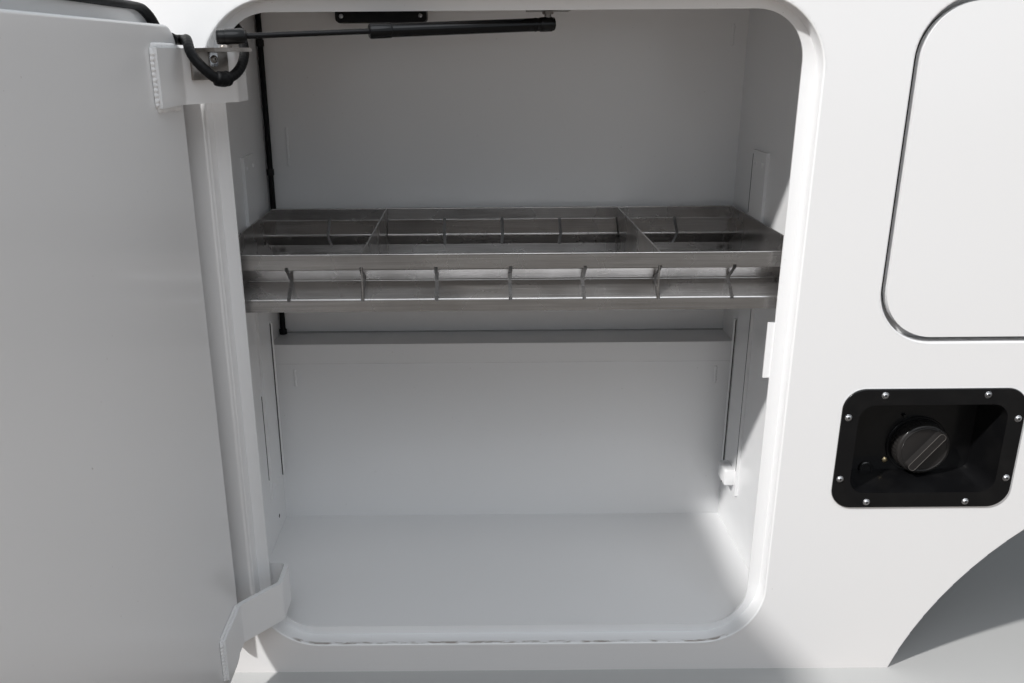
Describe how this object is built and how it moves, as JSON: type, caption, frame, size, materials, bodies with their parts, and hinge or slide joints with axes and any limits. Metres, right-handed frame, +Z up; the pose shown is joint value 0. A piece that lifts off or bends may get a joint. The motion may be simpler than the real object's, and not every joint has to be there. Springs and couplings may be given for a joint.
{
  "type": "service truck body side pack",
  "caption": "Side compartment pack of a utility truck body, with hinged doors, a divided shelf tray, a gas strut, a wheel arch and a fuel filler pocket.",
  "frame": {"origin": "on the outer face's bottom edge, under the middle of the front compartment, on the floor that the pack stands on", "axes": "+X towards the rear of the truck, +Y inwards from the outer face, +Z up"},
  "size_m": [2.489, 1.142, 0.978],
  "materials": {
    "white_paint": "gloss white paint",
    "brushed_sheet": "brushed",
    "black_rubber": "matt rubber",
    "black_plastic": "moulded, satin",
    "braided_sleeve": "braided sleeve",
    "black_paint": "satin black",
    "black_rod": "polished black",
    "stainless": "brushed",
    "bare_steel": "bare"
  },
  "bodies": {
    "root": {"face_panel": "white_paint", "front_door_frame": "white_paint", "middle_door_frame": "white_paint", "rear_door_frame": "white_paint", "roof_panel": "white_paint", "upper_back": "white_paint", "lower_back": "white_paint", "mounting_plates": "white_paint", "end_bulkheads": "white_paint", "partitions": "white_paint", "compartment_floors": "white_paint", "side_liners": "white_paint", "arch_liner": "white_paint", "wall_doublers": "white_paint", "tray_pan": "brushed_sheet", "tray_front_rail": "brushed_sheet", "tray_back_rail": "brushed_sheet", "tray_dividers": "brushed_sheet", "tray_clips": "brushed_sheet", "hinge_brackets": "bare_steel", "strikers": "white_paint", "strut_header_bracket": "bare_steel", "junction_box": "black_plastic", "wiring_loom": "braided_sleeve", "loom_grommet": "black_rubber", "door_cable": "braided_sleeve", "fuel_pocket": "black_plastic", "filler_neck": "bare_steel", "filler_cap": "black_plastic"},
    "front_door": {"front_door_skin": "white_paint", "front_door_pan": "white_paint", "front_door_seal": "black_rubber", "front_lower_arm": "white_paint", "front_upper_arm": "white_paint", "front_door_handle": "stainless", "strut_arm_angle": "bare_steel"},
    "middle_door": {"middle_door_skin": "white_paint", "middle_door_pan": "white_paint", "middle_door_seal": "black_rubber", "middle_hinge_arms": "white_paint", "middle_door_handle": "stainless"},
    "rear_door": {"rear_door_skin": "white_paint", "rear_door_pan": "white_paint", "rear_door_seal": "black_rubber", "rear_hinge_arms": "white_paint", "rear_door_handle": "stainless"},
    "strut_cylinder": {"strut_cylinder": "black_paint"},
    "strut_rod": {"strut_rod": "black_rod"}
  },
  "joints": [
    {"name": "front_door_hinge", "type": "hinge", "parent": "root", "child": "front_door", "pos_m": [-0.388, 0.011, 0], "axis": [0, 0, 1], "range_deg": [0, 90], "deforming": ["door_cable"]},
    {"name": "middle_door_hinge", "type": "hinge", "parent": "root", "child": "middle_door", "pos_m": [0.963, 0.011, 0.935], "axis": [-1, 0, 0], "range_deg": [0, 90]},
    {"name": "rear_door_hinge", "type": "hinge", "parent": "root", "child": "rear_door", "pos_m": [1.539, 0.011, 0], "axis": [0, 0, -1], "range_deg": [0, 90]},
    {"name": "strut_swing", "type": "hinge", "parent": "root", "child": "strut_cylinder", "pos_m": [0.043, 0.059, 0.8737], "axis": [0, 0, 1], "range_deg": [-26, 0]},
    {"name": "strut_stroke", "type": "slide", "parent": "strut_cylinder", "child": "strut_rod", "axis": [-0.9467, -0.32, -0.0368], "range_m": [-0.045, 0]}
  ],
  "couplings": [
    {"joint": "strut_swing", "follows": "front_door_hinge", "ratio": -0.2622},
    {"joint": "strut_stroke", "follows": "front_door_hinge", "m_per_rad": -0.02292}
  ]
}
